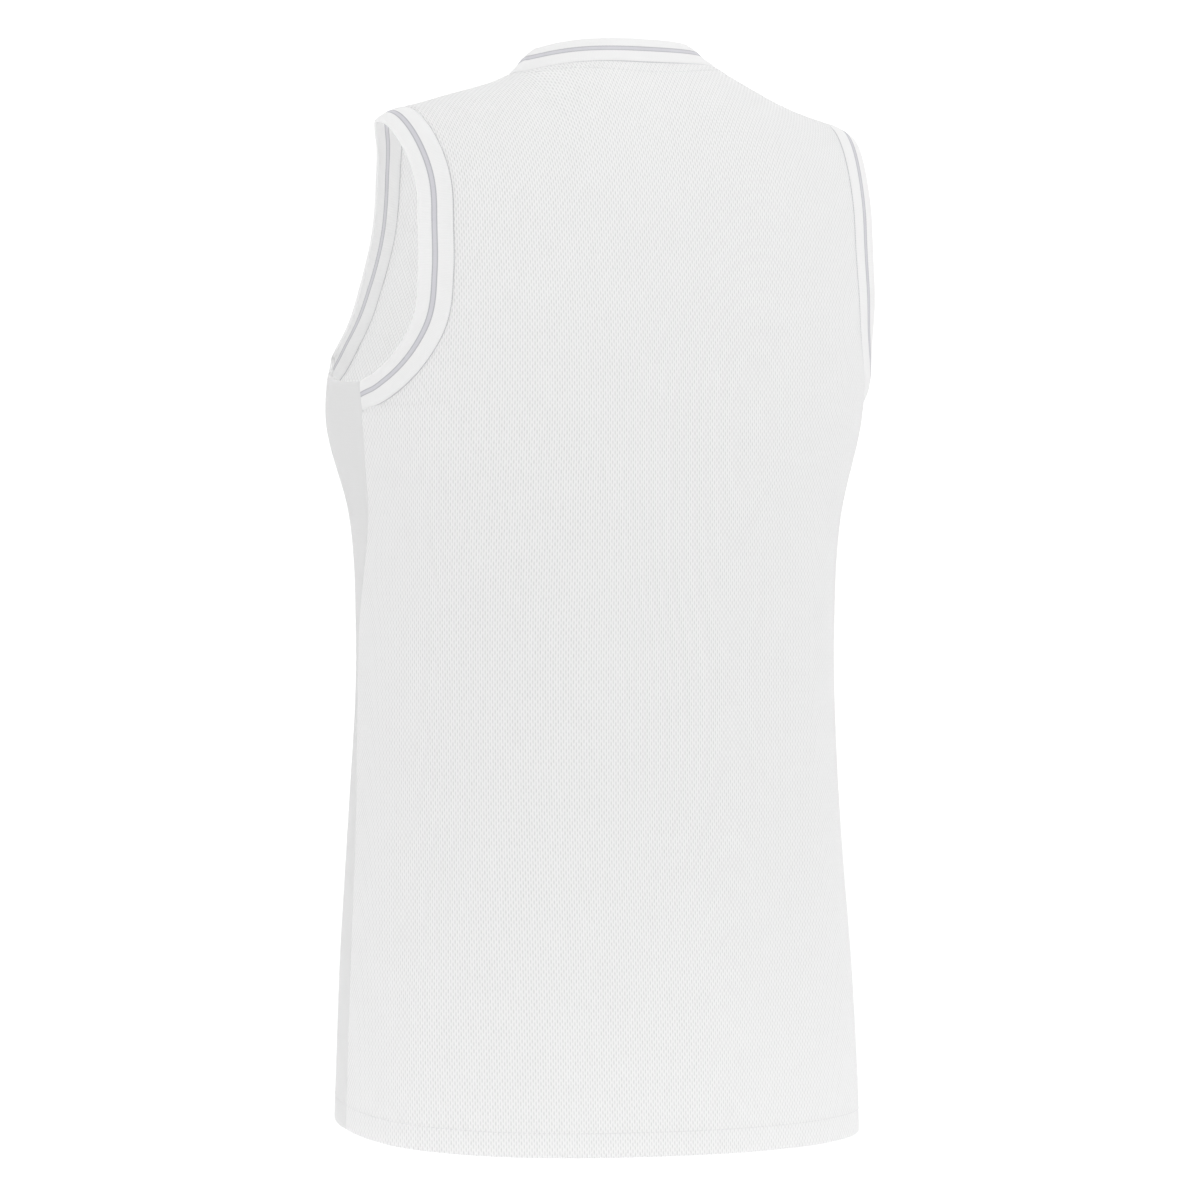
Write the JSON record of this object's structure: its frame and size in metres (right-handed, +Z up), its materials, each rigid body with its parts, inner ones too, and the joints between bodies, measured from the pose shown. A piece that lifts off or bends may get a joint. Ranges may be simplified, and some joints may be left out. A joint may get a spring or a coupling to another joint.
{
  "type": "basketball jersey",
  "caption": "Sleeveless basketball jersey in a women's cut, hollow as worn, with a round neck, rib trim and shaped side panels.",
  "frame": {"origin": "midway between the two high points of the shoulders, at the neck seam, where the jersey hangs on what wears it", "axes": "+Z up, -Y the way the wearer faces, +X the wearer's left"},
  "size_m": [0.3564, 0.2401, 0.6873],
  "materials": {
    "mesh_knit": "white birdseye mesh, matt",
    "smooth_knit": "white smooth knit, matt",
    "rib_trim": "white rib knit with a woven grey stripe, matt"
  },
  "bodies": {
    "root": {"back_panel": "mesh_knit", "front_panel": "mesh_knit", "side_panel_left": "smooth_knit", "side_panel_right": "smooth_knit", "neck_band": "rib_trim", "armhole_band_left": "rib_trim", "armhole_band_right": "rib_trim"}
  },
  "joints": []
}
